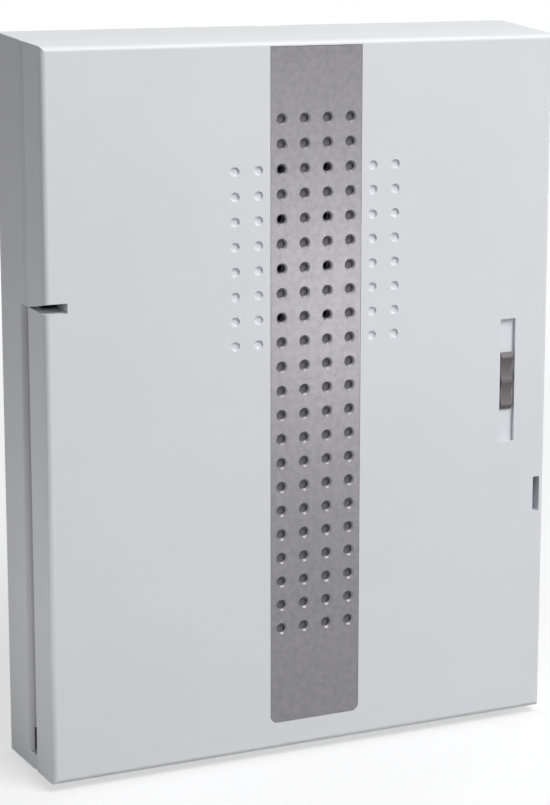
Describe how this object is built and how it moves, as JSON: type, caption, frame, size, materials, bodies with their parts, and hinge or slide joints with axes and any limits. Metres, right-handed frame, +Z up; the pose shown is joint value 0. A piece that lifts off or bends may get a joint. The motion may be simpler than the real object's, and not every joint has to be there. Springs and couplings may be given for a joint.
{
  "type": "doorbell chime box",
  "caption": "Flat white wall box with a silver perforated strip, a volume slider at the side and a lift-off front cover over a loudspeaker, circuit board and battery bay.",
  "frame": {"origin": "middle of the back face, on the wall", "axes": "+Z up, +X to the right of someone facing the box, +Y into the wall"},
  "size_m": [0.1474, 0.033, 0.1942],
  "materials": {
    "cover_white": "fine satin moulding, slightly cool white",
    "base_white": "fine satin moulding, slightly cool white",
    "strip_silver": "silver metallic paint over dark plastic",
    "knob_grey": "satin dark grey",
    "plated_steel": "bright zinc plating",
    "spring_steel": "nickel plated sheet",
    "pot_shell": "tinned sheet",
    "board_green": "green solder mask",
    "terminal_grey": "satin grey",
    "chip_black": "moulded black epoxy",
    "capacitor_sleeve": "shrunk sleeve with a bare top",
    "resistor_body": "lacquered body with colour rings",
    "ferrite": "sintered dark grey",
    "spider_cloth": "resin treated weave",
    "surround_cloth": "coated cloth",
    "cone_paper": "pressed fibre",
    "copper_coil": "enamelled copper wire on a former",
    "gasket_foam": "closed cell foam",
    "tag_board": "hard paper with tinned tags",
    "cell_jacket": "plain printed jacket without lettering",
    "lead_red": "insulated wire",
    "lead_black": "insulated wire"
  },
  "bodies": {
    "base": {"base_tray": "base_white", "volume_pot_body": "pot_shell", "circuit_board": "board_green", "board_screws": "plated_steel", "terminal_block": "terminal_grey", "terminal_screws": "plated_steel", "sound_chip": "chip_black", "amplifier_chip": "chip_black", "bridge_rectifier": "chip_black", "smoothing_capacitor": "capacitor_sleeve", "coupling_capacitor": "capacitor_sleeve", "resistors": "resistor_body", "melody_switch_body": "pot_shell", "speaker_basket": "plated_steel", "speaker_magnet": "ferrite", "speaker_yoke": "plated_steel", "speaker_top_plate": "plated_steel", "speaker_spider": "spider_cloth", "speaker_surround": "surround_cloth", "speaker_gasket": "gasket_foam", "speaker_tags": "tag_board", "speaker_leads": "lead_red", "speaker_screws": "plated_steel", "battery_cells": "cell_jacket", "contact_plus": "spring_steel", "contact_minus": "spring_steel", "contact_bridge": "spring_steel", "battery_lead_red": "lead_red", "battery_lead_black": "lead_black"},
    "cover": {"front_cover": "cover_white", "grille_strip": "strip_silver"},
    "volume_slider": {"volume_knob": "knob_grey", "slider_shutter": "cover_white", "pot_lever": "plated_steel"},
    "melody_selector": {"melody_knob": "knob_grey"},
    "cone": {"speaker_cone": "cone_paper", "speaker_dust_cap": "cone_paper", "voice_coil": "copper_coil"}
  },
  "joints": [
    {"name": "cover_lift", "type": "slide", "parent": "base", "child": "cover", "axis": [0, -1, 0], "range_m": [0, 0.06]},
    {"name": "volume_slide", "type": "slide", "parent": "base", "child": "volume_slider", "axis": [0, 0, 1], "range_m": [-0.0088, 0.0092]},
    {"name": "melody_select", "type": "slide", "parent": "base", "child": "melody_selector", "axis": [0, 0, 1], "range_m": [0, 0.0035]},
    {"name": "cone_stroke", "type": "slide", "parent": "base", "child": "cone", "axis": [0, -1, 0], "range_m": [-0.0008, 0.0008], "stiffness_N_per_m": 600, "deforming": ["speaker_surround", "speaker_spider"]}
  ]
}
